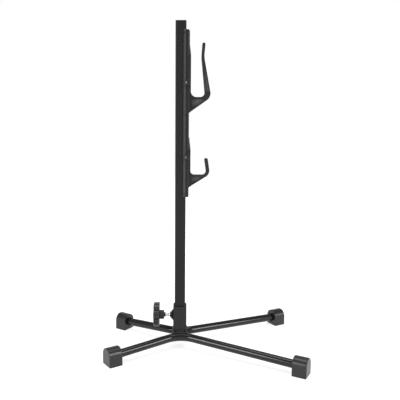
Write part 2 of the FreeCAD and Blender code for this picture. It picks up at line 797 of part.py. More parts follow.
def make_hook(name):
    """Moulded hook: ribbed gusset and tongue on a base that wraps the rail, with two ears."""
    body = new_body(name + "_hook")

    def n(text):
        """Fill this hook's name into a size name."""
        return text.replace("~", name)

    outline = new_sketch(body, n("~_hook_outline"), "XZ_Plane")
    side = [
        ("0", n("-~_below")),
        (n("~_reach"), n("~_reach_level"), n("~_reach_round")),
        (n("~_bend_out"), n("~_bend_level"), "tongue_bend"),
        (n("~_tip_out"), n("~_tip"), "tip_round"),
        (n("~_tip_in"), n("~_tip"), "tip_round"),
        (n("~_bend_in"), n("~_bend_level"), "tongue_bend"),
        (n("~_throat"), "0", n("~_throat_round")),
        ("hook_plate", "0", n("~_seat_round")),
        ("hook_plate", n("~_thick_level"), "plate_blend"),
        ("plate_tip", n("~_thin_level"), "plate_blend"),
        ("plate_tip", n("~_above")),
        ("0", n("~_above")),
    ]
    add_outline(outline, side)
    pad(body, n("~_spine"), outline, "hook_width", midplane=True)

    base = new_sketch(body, n("~_base_outline"), "YZ_Plane")
    add_outline(base, [
        ("-base_half", n("-~_below"), "base_round"),
        ("base_half", n("-~_below"), "base_round"),
        ("base_half", n("~_thick_level"), "base_round"),
        ("-base_half", n("~_thick_level"), "base_round"),
    ])
    pad(body, n("~_base"), base, "hook_base")
    skirts = new_sketch(body, n("~_skirt_outline"), "YZ_Plane", offset="0.0")
    near = "rail_half + skirt_play"
    for sign in ("", "-"):
        add_outline(skirts, [
            (sign + "(%s)" % near, n("base_round - ~_below")),
            (sign + "base_half", n("base_round - ~_below")),
            (sign + "base_half", n("~_thick_level - base_round")),
            (sign + "(%s)" % near, n("~_thick_level - base_round")),
        ])
    skirt_deep = "rail_depth + slide_play - groove_start - groove_width - skirt_lift"
    pad(body, n("~_skirts"), skirts, skirt_deep, reverse=True)
    ears = new_sketch(body, n("~_ear_outline"), "YZ_Plane", offset="0 - (%s)" % skirt_deep)
    for sign in ("", "-"):
        add_outline(ears, [
            (sign + "(%s)" % near, n("~_ear - ear_height / 2")),
            (sign + "ear_out", n("~_ear - ear_height / 2"), "ear_edge"),
            (sign + "ear_out", n("~_ear + ear_height / 2"), "ear_edge"),
            (sign + "(%s)" % near, n("~_ear + ear_height / 2")),
        ])
    pad(body, n("~_ears"), ears, "%s + ear_front" % skirt_deep)
    bores = new_sketch(body, n("~_ear_bores"), "YZ_Plane", offset="ear_front")
    wells = new_sketch(body, n("~_ear_wells"), "YZ_Plane", offset="ear_front")
    for sign in ("", "-"):
        add_circle(bores, sign + "clamp_offset", n("~_ear"), "clamp_radius + clamp_play")
        add_circle(wells, sign + "clamp_offset", n("~_ear"), "clamp_head_radius + clamp_play * 2")
    pocket(body, n("~_bore_cut"), bores, "ear_front + %s + 1" % skirt_deep)
    pocket(body, n("~_well_cut"), wells, "clamp_head")

    # lightening recesses on both sides, between the ribs
    spots = [Vector(value_of(c[0]), value_of(c[1]), 0) for c in side]
    root = Vector(value_of("hook_plate"), spots[0].y, 0)
    seat_left = Vector(value_of("hook_plate"), 0, 0)
    gusset_left = crossing(spots[0], spots[1], root, seat_left)
    gusset_right = crossing(spots[0], spots[1], seat_left, spots[6])
    rib = value_of("hook_flange")
    gusset = shrink([gusset_left, gusset_right, seat_left], [rib, rib, rib])
    low, high = value_of(n("~_groove_low")), value_of(n("~_groove_high"))
    rows = [(Vector(-9, level, 0), Vector(9, level, 0)) for level in (low, high)]
    tongue = [
        crossing(spots[6], spots[5], *rows[0]), crossing(spots[1], spots[2], *rows[0]),
        crossing(spots[1], spots[2], *rows[1]), crossing(spots[6], spots[5], *rows[1]),
    ]
    tongue = shrink(tongue, [0, value_of("tongue_rim"), 0, value_of("tongue_rim")])
    for part_name, shape, deep, corner in (
        ("gusset", gusset, "(hook_width - hook_web) / 2", "gusset_round"),
        ("tongue", tongue, "tongue_groove", "groove_round"),
    ):
        for sign, turned in (("", False), ("-", True)):
            tag = n("~_%s_%s" % (part_name, "rear" if turned else "front"))
            cut = new_sketch(body, tag, "XZ_Plane", offset="0 + %shook_width / 2" % sign)
            add_outline(cut, texts(shape, corner))
            pocket(body, tag + "_cut", cut, deep, reverse=turned)
    place(body, HOOK_FACE, "0", n("rail_bottom + ~_seat"))
    return finish(body, name + "_hook")


def solid(kind, name, **sizes):
    """Primitive with bound sizes."""
    thing = doc.addObject("Part::" + kind, name)
    for prop, text in sizes.items():
        bind(thing, prop, text)
    return thing


def lay(thing, axis, x="0", y="0", z="0"):
    """Point a primitive's own Z axis along a direction and bind its position."""
    thing.Placement = Placement(Vector(0, 0, 0), Rotation(Vector(0, 0, 1), axis))
    place(thing, x, y, z)
    return thing


def join(kind, name, base, tool):
    thing = doc.addObject("Part::" + kind, name)
    thing.Base = base
    thing.Tool = tool
    return thing


def group(label, things, x="0", y="0", z="0"):
    """Several equal loose pieces kept as one sub-part."""
    thing = doc.addObject("Part::Compound", label)
    thing.Links = things
    place(thing, x, y, z)
    doc.recompute()
    return finish(thing, label)


def make_clamps(name):
    """Two jaws behind the rail's head, each drawn to the hook's ear by a screw and nut."""
    seat = dict(x=HOOK_FACE, z="rail_bottom + %s_seat + %s_ear" % (name, name))
    jaw_back = "0 - (rail_depth + slide_play - groove_start - groove_width + jaw_play / 3 + jaw_thick)"
    jaws, screws, nuts = [], [], []
    for tag, sign in (("front", "-"), ("rear", "")):
        mark = "%s_%s_" % (name, tag)
        plate = solid("Box", mark + "jaw_plate", Length="jaw_thick",
                      Width="jaw_out - groove_half - jaw_play", Height="jaw_height")
        near = "groove_half + jaw_play" if tag == "rear" else "-jaw_out"
        place(plate, jaw_back, near, "0 - jaw_height / 2")
        hole = solid("Cylinder", mark + "jaw_hole", Radius="clamp_radius + clamp_play",
                     Height="jaw_thick * 3")
        lay(hole, Vector(1, 0, 0), jaw_back + " - jaw_thick", sign + "clamp_offset")
        jaws.append(join("Cut", mark + "jaw", plate, hole))

        shank = solid("Cylinder", mark + "shank", Radius="clamp_radius",
                      Height="ear_front - clamp_head - (%s) + clamp_nut + clamp_tip" % jaw_back)
        lay(shank, Vector(-1, 0, 0), "ear_front - clamp_head", sign + "clamp_offset")
        head = solid("Cylinder", mark + "head", Radius="clamp_head_radius", Height="clamp_head")
        lay(head, Vector(1, 0, 0), "ear_front - clamp_head", sign + "clamp_offset")
        socket = solid("Prism", mark + "socket", Circumradius="clamp_socket / sqrt(3)",
                       Height="clamp_head")
        socket.Polygon = 6
        lay(socket, Vector(1, 0, 0), "ear_front - clamp_head / 2", sign + "clamp_offset")
        screw = join("Fuse", mark + "screw_blank", head, shank)
        screws.append(join("Cut", mark + "screw", screw, socket))

        block = solid("Prism", mark + "nut_block", Circumradius="clamp_nut_flats / sqrt(3)",
                      Height="clamp_nut")
        block.Polygon = 6
        lay(block, Vector(-1, 0, 0), jaw_back, sign + "clamp_offset")
        bore = solid("Cylinder", mark + "nut_bore", Radius="clamp_radius + clamp_play",
                     Height="clamp_nut * 3")
        lay(bore, Vector(-1, 0, 0), jaw_back + " + clamp_nut", sign + "clamp_offset")
        nuts.append(join("Cut", mark + "nut", block, bore))
    group(name + "_jaws", jaws, **seat)
    group(name + "_screws", screws, **seat)
    group(name + "_nuts", nuts, **seat)


for hook_name in ("upper", "lower"):
    make_hook(hook_name)
    make_clamps(hook_name)

# ---------------------------------------------------------------- rail screws

pieces = []
for tag, sign, inward in (("front", "-", 1), ("rear", "", -1)):
    for number, level in enumerate(SCREW_LEVELS, start=1):
        mark = "rail_%s_%d_" % (tag, number)
        seat_y = sign + "(post_width / 2 + lip_thick)"
        shank = solid("Cylinder", mark + "shank", Radius="rail_screw_radius",
                      Height="rail_screw_length")
        lay(shank, Vector(0, inward, 0), "0", seat_y, level)
        head = solid("Cylinder", mark + "head", Radius="rail_screw_head", Height="rail_screw_cap")
        lay(head, Vector(0, -inward, 0), "0", seat_y, level)
        pieces.append(join("Fuse", mark + "screw", head, shank))
group("rail_screws", pieces, x="post_x + post_width / 2 - rail_screw_inset", z="rail_bottom")

# ---------------------------------------------------------------- checks and export

doc.recompute()
for thing in doc.Objects:
    if "Invalid" in thing.State or "Error" in thing.State:
        raise RuntimeError("%s did not build" % thing.Name)
for thing in made:
    if thing.Shape.isNull() or not thing.Shape.isValid():
        raise RuntimeError("%s has no valid shape" % thing.Label)
os.makedirs("parts", exist_ok=True)
for thing in made:
    thing.Shape.exportStep("parts/%s.step" % thing.Label)
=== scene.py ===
import json
import math

import bmesh
import bpy
import numpy as np
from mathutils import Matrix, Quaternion, Vector


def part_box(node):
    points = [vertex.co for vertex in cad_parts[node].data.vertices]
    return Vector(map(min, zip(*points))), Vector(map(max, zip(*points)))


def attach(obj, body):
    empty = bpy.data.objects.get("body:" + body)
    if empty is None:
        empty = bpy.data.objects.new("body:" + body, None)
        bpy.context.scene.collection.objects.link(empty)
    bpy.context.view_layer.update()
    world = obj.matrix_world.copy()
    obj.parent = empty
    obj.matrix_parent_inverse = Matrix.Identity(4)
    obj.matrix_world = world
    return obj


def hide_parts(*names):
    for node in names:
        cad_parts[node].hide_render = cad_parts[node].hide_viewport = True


# Looks of a black bicycle floor stand: powder-coated steel base, anodised rail, moulded hooks,
# feet and knob, zinc-plated fasteners. Metres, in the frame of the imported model.

MM = 0.001
IMAGE = 400

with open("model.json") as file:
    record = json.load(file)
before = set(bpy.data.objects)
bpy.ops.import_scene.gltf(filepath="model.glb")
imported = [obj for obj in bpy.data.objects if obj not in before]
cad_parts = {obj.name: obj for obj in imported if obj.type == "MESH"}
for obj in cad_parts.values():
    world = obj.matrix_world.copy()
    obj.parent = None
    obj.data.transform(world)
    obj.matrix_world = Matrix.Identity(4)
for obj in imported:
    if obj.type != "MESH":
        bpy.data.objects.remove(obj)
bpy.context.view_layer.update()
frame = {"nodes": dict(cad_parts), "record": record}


def middle(node):
    """Centre of a CAD node's box."""
    low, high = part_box(node)
    return (low + high) / 2


# ------------------------------------------------------------------ shader maths

class Field:
    """A value in a graph of nodes; Python arithmetic on it adds Math nodes."""

    def __init__(self, graph, socket):
        self.graph = graph
        self.socket = socket

    def maths(self, operation, *terms):
        """One Math node on the terms."""
        return self.graph.node("Math", {"operation": operation}, *terms)

    def __add__(self, other):
        return self.maths("ADD", self, other)

    def __radd__(self, other):
        return self.maths("ADD", other, self)

    def __sub__(self, other):
        return self.maths("SUBTRACT", self, other)

    def __rsub__(self, other):
        return self.maths("SUBTRACT", other, self)

    def __mul__(self, other):
        return self.maths("MULTIPLY", self, other)

    def __rmul__(self, other):
        return self.maths("MULTIPLY", other, self)

    def swing(self, amount):
        """The value about its middle of one half, scaled by an amount."""
        return (self - 0.5) * amount

    def either(self, other):
        """The larger of two values."""
        return self.maths("MAXIMUM", self, other)


class Graph:
    """The nodes of a material or of the world."""

    def __init__(self, owner):
        owner.use_nodes = True
        self.tree = owner.node_tree
        self.tree.nodes.clear()

    def put(self, socket, value):
        """Link a field to a socket, or write a plain value on it."""
        if isinstance(value, Field):
            self.tree.links.new(value.socket, socket)
        else:
            socket.default_value = value

    def node(self, kind, settings=None, *values, output=0, **named):
        """Add a node: its settings first, then its sockets in order or by name."""
        made = self.tree.nodes.new("ShaderNode" + kind)
        for key, value in (settings or {}).items():
            setattr(made, key, value)
        for i, value in enumerate(values):
            self.put(made.inputs[i], value)
        for key, value in named.items():
            self.put(made.inputs[key.replace("_", " ")], value)
        return Field(self, made.outputs[output])

    def ramp(self, value, low, high, at_low, at_high):
        """One level below the low value, another above the high one, smooth between."""
        return self.node("MapRange", {"interpolation_type": "SMOOTHSTEP"}, value, low, high, at_low, at_high)

    def ray(self, kind):
        """1 for rays of a kind, such as camera rays, else 0."""
        return self.node("LightPath", output="Is %s Ray" % kind)

    def surface(self, output_kind, shader):
        """End the graph in an output node that shows the shader."""
        made = self.tree.nodes.new("ShaderNode" + output_kind)
        self.put(made.inputs["Surface"], shader)


WEAR_SIZE = 3 * MM
WEAR_FROM, WEAR_TO = 0.42, 0.62


class Finish(Graph):
    """A procedural material on one Principled shader."""

    def __init__(self, name, colour, roughness, metallic=0.0, reflectance=0.5):
        self.material = bpy.data.materials.new(name)
        super().__init__(self.material)
        self.shader = self.tree.nodes.new("ShaderNodeBsdfPrincipled")
        self.surface("OutputMaterial", Field(self, self.shader.outputs["BSDF"]))
        self.set("Base Color", (*colour, 1.0))
        self.set("Roughness", roughness)
        self.set("Metallic", metallic)
        self.set("Specular IOR Level", reflectance)
        self.place = self.node("TexCoord", output="Object")

    def set(self, socket_name, value):
        """Give the shader a value or a field."""
        self.put(self.shader.inputs[socket_name], value)

    def stretched(self, scale):
        """Object coordinates scaled along each axis."""
        return self.node("Mapping", None, Vector=self.place, Scale=scale)

    def noise(self, size, detail, roughness, where=None):
        """Cloudy noise whose blotches are about one size across, from 0 to 1."""
        return self.node("TexNoise", {"noise_dimensions": "3D"}, output="Fac",
                         Vector=where or self.place, Scale=1 / size, Detail=detail,
                         Roughness=roughness)

    def cells(self, size):
        """Distance to the nearest of scattered points, cells about one size across."""
        return self.node("TexVoronoi", {"feature": "F1"}, output="Distance",
                         Vector=self.place, Scale=1 / size)

    def mark(self, name):
        """A mark that the piece's mesh carries, from 0 to 1."""
        return self.node("Attribute", {"attribute_name": name}, output="Fac")

    def tint(self, mask, under, over):
        """Colour that goes from one to the other with the mask."""
        made = self.tree.nodes.new("ShaderNodeMix")
        made.data_type = "RGBA"
        self.put(made.inputs[0], mask)
        self.put(made.inputs[6], under if isinstance(under, Field) else (*under, 1.0))
        self.put(made.inputs[7], over if isinstance(over, Field) else (*over, 1.0))
        return Field(self, made.outputs[2])

    def worn(self):
        """How far a point lies on a worked edge, broken up along its length."""
        edge = self.mark("edge")
        patches = self.noise(size=WEAR_SIZE, detail=4.0, roughness=0.6)
        return edge * self.ramp(patches, WEAR_FROM, WEAR_TO, 0.0, 1.0)

    def relief(self, height, depth):
        """Bump from a height field whose full swing is the depth."""
        self.set("Normal", self.node("Bump", None, output="Normal", Height=height,
                                     Distance=depth, Strength=1.0))


def powder_coat(name, colour, roughness, peel, reflectance):
    """Baked powder paint: orange peel, faint clouds, slightly paler on the worked edges."""
    f = Finish(name, colour, roughness, reflectance=reflectance)
    waves = f.noise(size=2.2 * MM, detail=1.0, roughness=0.4)
    grain = f.noise(size=0.35 * MM, detail=2.0, roughness=0.5)
    clouds = f.noise(size=45 * MM, detail=3.0, roughness=0.55)
    f.set("Roughness", roughness + clouds.swing(0.10) + grain.swing(0.06))
    lighter = tuple(1.8 * c + 0.004 for c in colour)
    f.set("Base Color", f.tint(f.worn() * 0.6 + clouds.swing(0.25), colour, lighter))
    f.relief(waves * 0.8 + grain * 0.2, peel)
    return f.material


def moulded(name, colour, roughness, grain_size, depth, reflectance, panel=None):
    """Moulded plastic with a fine spark-eroded grain, rubbed smoother on the edges.

    Recessed panels, where there are any, keep the mould's coarse grain and get a paler colour, a painted
    sheen.
    """
    f = Finish(name, colour, roughness, reflectance=reflectance)
    grain = f.noise(size=grain_size, detail=3.0, roughness=0.65)
    pits = f.cells(grain_size * 1.4)
    clouds = f.noise(size=30 * MM, detail=3.0, roughness=0.5)
    worn = f.worn()
    rough = roughness + clouds.swing(0.12) + grain.swing(0.10) - worn * 0.08
    lighter = tuple(1.4 * c + 0.008 for c in colour)
    shade = f.tint(worn * 0.5 + clouds.swing(0.2) + 0.05, colour, lighter)
    if panel is not None:
        recess = f.mark("panel")
        rough = rough + recess * 0.18
        # paler colour on the recessed panels: painted sheen; their coarse grain is in the roughness above
        shade = f.tint(recess * (0.8 + grain.swing(0.5)), shade, panel)
    f.set("Roughness", rough)
    f.set("Base Color", shade)
    f.relief(grain * 0.6 + pits * 0.4, depth)
    return f.material


def anodised(name, colour, roughness, reflectance, groove_painted_shade):
    """Black anodised extrusion: die lines run along its length, and the sunk faces get a darker colour,
    painted shade.
    """
    f = Finish(name, colour, roughness, reflectance=reflectance)
    lines = f.noise(size=0.30 * MM, detail=3.0, roughness=0.7, where=f.stretched((1, 1, 0.004)))
    bands = f.noise(size=2.0 * MM, detail=2.0, roughness=0.5, where=f.stretched((1, 1, 0.003)))
    clouds = f.noise(size=40 * MM, detail=2.0, roughness=0.5)
    worn = f.worn()
    f.set("Roughness", roughness + lines.swing(0.16) + clouds.swing(0.08))
    shade = f.tint(worn * 0.5 + bands * 0.25, colour, tuple(2.2 * c + 0.01 for c in colour))
    # the sunk faces take the near-black colour: painted shade in the rail's groove
    f.set("Base Color", f.tint(f.mark("panel"), shade, groove_painted_shade))
    f.relief(lines, 0.012 * MM)
    return f.material


def zinc(name, colour, roughness):
    """Bright zinc plate, faintly clouded, with fine turning marks."""
    f = Finish(name, colour, roughness, metallic=1.0)
    clouds = f.noise(size=2.5 * MM, detail=3.0, roughness=0.6)
    marks = f.noise(size=0.18 * MM, detail=2.0, roughness=0.5)
    warm = (colour[0] * 1.02, colour[1] * 0.98, colour[2] * 0.88)
    f.set("Base Color", f.tint(clouds, colour, warm))
    f.set("Roughness", roughness + clouds.swing(0.2) + marks.swing(0.1))
    f.relief(marks, 0.008 * MM)
    return f.material


def nylon(name, colour):
    """Natural nylon, waxy and faintly mottled."""
    f = Finish(name, colour, 0.45)
    clouds = f.noise(size=1.5 * MM, detail=3.0, roughness=0.6)
    f.set("Base Color", f.tint(clouds, colour, tuple(0.85 * c for c in colour)))
    f.relief(clouds, 0.02 * MM)
    return f.material


leg_gloss = powder_coat(
    "leg_gloss", (0.012, 0.012, 0.0125), roughness=0.16, peel=0.005 * MM, reflectance=0.34)
plate_satin = powder_coat(
    "plate_satin", (0.014, 0.014, 0.015), roughness=0.36, peel=0.015 * MM, reflectance=0.35)
sleeve_satin = powder_coat(
    "sleeve_satin", (0.009, 0.009, 0.0105), roughness=0.42, peel=0.020 * MM, reflectance=0.32)
post_satin = powder_coat(
    "post_satin", (0.0055, 0.0055, 0.006), roughness=0.45, peel=0.015 * MM, reflectance=0.27)
foot_grain = moulded(
    "foot_grain", (0.015, 0.015, 0.0165), roughness=0.31, grain_size=0.45 * MM, depth=0.012 * MM,
    reflectance=0.46)
cap_grain = moulded(
    "cap_grain", (0.006, 0.006, 0.0065), roughness=0.45, grain_size=0.40 * MM, depth=0.012 * MM,
    reflectance=0.25)
# the hooks' recessed webs get a paler colour: painted sheen
hook_grain = moulded(
    "hook_grain", (0.013, 0.013, 0.014), roughness=0.36, grain_size=0.40 * MM, depth=0.010 * MM,
    reflectance=0.30, panel=(0.12, 0.12, 0.123))
knob_grain = moulded(
    "knob_grain", (0.011, 0.011, 0.012), roughness=0.28, grain_size=0.40 * MM, depth=0.010 * MM,
    reflectance=0.50)
# the rail's sunk faces are coloured near black: painted shade in its grooves
rail_black = anodised(
    "rail_black", (0.030, 0.030, 0.031), roughness=0.34, reflectance=0.42,
    groove_painted_shade=(0.005, 0.005, 0.005))
bright_zinc = zinc("bright_zinc", (0.86, 0.87, 0.88), roughness=0.14)
dull_zinc = zinc("dull_zinc", (0.26, 0.26, 0.26), roughness=0.36)
black_zinc = zinc("black_zinc", (0.055, 0.055, 0.057), roughness=0.34)
pad_nylon = nylon("pad_nylon", (0.70, 0.68, 0.62))

FINISHES = {
    "leg_paint": leg_gloss, "plate_paint": plate_satin, "sleeve_paint": sleeve_satin,
    "post_paint": post_satin, "rail_alloy": rail_black, "foot_plastic": foot_grain,
    "cap_plastic": cap_grain, "hook_plastic": hook_grain, "knob_plastic": knob_grain,
    "fastener_steel": bright_zinc, "fastener_black": black_zinc, "pad_nylon": pad_nylon,
}
# the small nuts get a darker, rougher zinc than the polished stud
OWN_FINISH = {"upper_nuts": dull_zinc, "lower_nuts": dull_zinc}
SLOT_OF = {s["node"]: s["material_slot"] for s in frame["record"]["subparts"]}
BODY_OF = {n: b for b, nodes in frame["record"]["behaviour"]["bodies"].items() for n in nodes}


def coat(obj, node):
    """Give an object the finish of a CAD node."""
    obj.data.materials.clear()
    obj.data.materials.append(OWN_FINISH.get(node, FINISHES[SLOT_OF[node]]))


def stand_for(node, name, mesh):
    """Make a mesh the piece that stands for a CAD node, with its finish, body and slot."""
    piece = bpy.data.objects.new(name, mesh)
    bpy.context.scene.collection.objects.link(piece)
    coat(piece, node)
    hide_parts(node)
    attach(piece, BODY_OF[node])
    return piece


for node, obj in frame["nodes"].items():
    coat(obj, node)


# ------------------------------------------------------------------ pieces from CAD nodes

SIDEWAYS = 0.99
DOUBLE = 0.002 * MM
FLAT_TURN = math.radians(0.4)
EDGE_TURN = math.radians(28)
EDGE_SEGMENTS = 3


def edge_worked(node, width, panels=None):
    """Copy of a CAD node with its doubles merged, its flat faces whole and its edges rounded.

    Faces that look along Y and lie less than the panels' distance from Y = 0 are marked as panels, where the
    finishes paint shade or sheen.
    """
    mesh = frame["nodes"][node].data.copy()
    mesh.name = node + "_finished"
    work = bmesh.new()
    work.from_mesh(mesh)
    bmesh.ops.remove_doubles(work, verts=work.verts, dist=DOUBLE)
    bmesh.ops.dissolve_limit(work, angle_limit=FLAT_TURN, verts=work.verts, edges=work.edges,
                             delimit=set())
    layer = work.verts.layers.float.new("edge")
    sharp = [e for e in work.edges if e.is_manifold and e.calc_face_angle(0) > EDGE_TURN]
    rounded = bmesh.ops.bevel(work, geom=sharp, offset=width, offset_type="OFFSET",
                              segments=EDGE_SEGMENTS, profile=0.5, affect="EDGES", clamp_overlap=True,
                              miter_outer="ARC", material=-1)
    for face in rounded["faces"]:
        for vert in face.verts:
            vert[layer] = 1.0
    for face in work.faces:
        face.smooth = True
    work.to_mesh(mesh)
    work.free()
    if panels is not None:
        count = len(mesh.polygons)
        centres, normals = np.empty(3 * count), np.empty(3 * count)
        mesh.polygons.foreach_get("center", centres)
        mesh.polygons.foreach_get("normal", normals)
        sunk = (np.abs(normals[1::3]) > SIDEWAYS) & (np.abs(centres[1::3]) < panels)
        mark = mesh.attributes.new("panel", "FLOAT", "FACE")
        mark.data.foreach_set("value", sunk.astype(float))
    piece = stand_for(node, node + "_finished", mesh)
    even = piece.modifiers.new("even_shading", "WEIGHTED_NORMAL")
    even.keep_sharp = False


for node, width in (
    ("foot_front_left", 0.3 * MM), ("foot_front_right", 0.3 * MM),
    ("foot_rear_left", 0.3 * MM), ("foot_rear_right", 0.3 * MM),
    ("base_plate", 0.5 * MM), ("clamp_sleeve", 0.5 * MM), ("weld_nut", 0.35 * MM),
    ("post_tube", 0.15 * MM), ("post_cap", 0.2 * MM), ("knob_head", 0.25 * MM),
    ("rail_screws", 0.3 * MM), ("clamp_pad", 0.2 * MM),
    ("upper_jaws", 0.2 * MM), ("upper_screws", 0.25 * MM), ("upper_nuts", 0.25 * MM),
    ("lower_jaws", 0.2 * MM), ("lower_screws", 0.25 * MM), ("lower_nuts", 0.25 * MM),
):
    edge_worked(node, width)
RAIL_SUNK = 0.3 * MM
edge_worked("hook_rail", 0.2 * MM, panels=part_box("hook_rail")[1][1] - RAIL_SUNK)
HOOK_PANEL = 6 * MM
for node in ("upper_hook", "lower_hook"):
    edge_worked(node, 0.5 * MM, panels=HOOK_PANEL)


# ------------------------------------------------------------------ pieces from formulas

def weave(grid, wrap_rows=False):
    """Points and faces of a tube-like grid (rows, columns, xyz), its columns going round.

    Rows that don't wrap get a lid over each end.
    """
    rows, columns = grid.shape[:2]
    index = np.arange(rows * columns).reshape(rows, columns)
    round_index = np.hstack([index, index[:, :1]])
    if wrap_rows:
        round_index = np.vstack([round_index, round_index[:1]])
    quads = np.stack([round_index[:-1, :-1], round_index[1:, :-1],
                      round_index[1:, 1:], round_index[:-1, 1:]], axis=-1).reshape(-1, 4)
    faces = quads.tolist()
    if not wrap_rows:
        faces += [index[0].tolist(), index[-1].tolist()]
    return grid.reshape(-1, 3), faces


def formed(name, shells, node, sharp=38):
    """Closed shells as one piece that stands for a CAD node; edges turning past sharp degrees stay sharp."""
    points, faces, start = [], [], 0
    for some_points, some_faces in shells:
        points.append(some_points)
        faces += [[start + i for i in face] for face in some_faces]
        start += len(some_points)
    mesh = bpy.data.meshes.new(name)
    mesh.from_pydata(np.vstack(points).tolist(), [], faces)
    work = bmesh.new()
    work.from_mesh(mesh)
    bmesh.ops.recalc_face_normals(work, faces=work.faces)
    work.to_mesh(mesh)
    work.free()
    mesh.shade_smooth()
    mesh.set_sharp_from_angle(angle=math.radians(sharp))
    stand_for(node, name, mesh)


def unit(vector):
    """A vector of length one along the same way."""
    return vector / np.linalg.norm(vector)


POST_AXIS = np.array([middle("post_tube")[0], 0.0, 0.0])
LEG_LEFT = (149.0 * MM, 112.5 * MM)
LEG_RIGHT = (262.5 * MM, 155.0 * MM)
LEG_END_HEIGHT = 19.5 * MM
LEG_APEX = (11.3 * MM, 29.0 * MM)
LEG_BEND = 58 * MM
LEG_RADIUS = 9.5 * MM
LEG_WALL = 1.5 * MM
LEG_INTO_FOOT = 7.5 * MM
LEG_SIDES = 72
LEG_ARC_ROWS = 40
LEG_STRAIGHT_ROWS = 12


def leg_tube(node, side):
    """A round tube bent once: a circle carried along a straight, an arc and a straight.

    The rows run along the outside and back along the bore, so that both ends are closed rims.
    """
    left = POST_AXIS + [-LEG_LEFT[0], side * LEG_LEFT[1], LEG_END_HEIGHT]
    right = POST_AXIS + [LEG_RIGHT[0], side * LEG_RIGHT[1], LEG_END_HEIGHT]
    apex = POST_AXIS + [0, side * LEG_APEX[0], LEG_APEX[1]]
    to_left, to_right = unit(left - apex), unit(right - apex)
    half = math.acos(to_left @ to_right) / 2
    trim = LEG_BEND / math.tan(half)
    centre = apex + unit(to_left + to_right) * LEG_BEND / math.sin(half)
    normal = unit(np.cross(to_left, to_right))
    across = unit(apex + to_left * trim - centre)
    turn = np.linspace(0, math.pi - 2 * half, LEG_ARC_ROWS)[:, None]
    arc = centre + LEG_BEND * (np.cos(turn) * across - np.sin(turn) * to_left)
    arc_way = -np.cos(turn) * to_left - np.sin(turn) * across
    spread = np.linspace(0, 1, LEG_STRAIGHT_ROWS, endpoint=False)[:, None]
    first, last = left + to_left * LEG_INTO_FOOT, right + to_right * LEG_INTO_FOOT
    way_in = first + (arc[0] - first) * spread
    way_out = (last + (arc[-1] - last) * spread)[::-1]
    path = np.vstack([way_in, arc, way_out])
    way = np.vstack([np.repeat(-to_left[None], len(way_in), 0), arc_way,
                     np.repeat(to_right[None], len(way_out), 0)])
    round_angle = np.linspace(0, 2 * math.pi, LEG_SIDES, endpoint=False)[None, :, None]
    side_way = np.cross(way, normal)[:, None]
    ring = np.cos(round_angle) * normal + np.sin(round_angle) * side_way
    outside = path[:, None] + LEG_RADIUS * ring
    bore = path[:, None] + (LEG_RADIUS - LEG_WALL) * ring
    formed(node + "_tube", [weave(np.vstack([outside, bore[::-1]]), wrap_rows=True)], node)


leg_tube("front_leg", -1)
leg_tube("rear_leg", 1)

STUD_RADIUS = 4 * MM
STUD_PITCH = 1.25 * MM
STUD_DEPTH = 0.62 * MM
STUD_POINT = 0.9 * MM
STUD_ROWS_A_PITCH = 12
STUD_SIDES = 48
FLANK_SLOPE, CREST_FLAT = 1.25, 0.12
POINT_DEPTH = 1.1


def stud_thread():
    """A threaded rod: its radius falls from crest to root with the axial place less the turn.

    A rounded triangle wave of (place / pitch - angle / full turn) gives the flanks.
    """
    low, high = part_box("knob_stud")
    centre = middle("knob_stud")
    length = high[0] - low[0]
    rows = int(length / STUD_PITCH * STUD_ROWS_A_PITCH)
    place = np.linspace(0, length, rows)[:, None]
    angle = np.linspace(0, 2 * math.pi, STUD_SIDES, endpoint=False)[None]
    wave = np.abs((place / STUD_PITCH - angle / (2 * math.pi)) % 1 * 2 - 1)
    flank = np.clip(wave * FLANK_SLOPE - CREST_FLAT, 0, 1)
    from_end = np.minimum(place, length - place)
    point = np.clip((STUD_POINT - from_end) / STUD_POINT, 0, 1)
    radius = STUD_RADIUS - STUD_DEPTH * np.maximum(flank, point * POINT_DEPTH)
    grid = np.stack([low[0] + place + 0 * angle, centre[1] + radius * np.cos(angle),
                     centre[2] + radius * np.sin(angle)], axis=-1)
    formed("stud_thread", [weave(grid)], "knob_stud", sharp=80)


stud_thread()

SLEEVE_HALF = 16 * MM
SLEEVE_WELD = 2.5 * MM
SLEEVE_WELD_HALF = 9 * MM
SLEEVE_WELD_RIPPLES = 11
SLEEVE_WELD_ROWS, SLEEVE_WELD_COLUMNS = 133, 15
SLEEVE_WELD_BLUNT, SLEEVE_WELD_TIP = 7, 0.004
SLEEVE_WELD_BOW = 0.9
SLEEVE_WELD_SCALE = 0.14
FILLET_FLATNESS = 1.35
WELD_SINK = 0.15 * MM
SCALE_LEAN, SCALE_ROUND = 0.6, 0.8


def scallops(place, bow):
    """Height of overlapping weld scales from 0 to 1: each rises steeply and falls off slowly."""
    share = (place + bow) % 1
    return np.sin(math.pi * share ** SCALE_LEAN) ** SCALE_ROUND


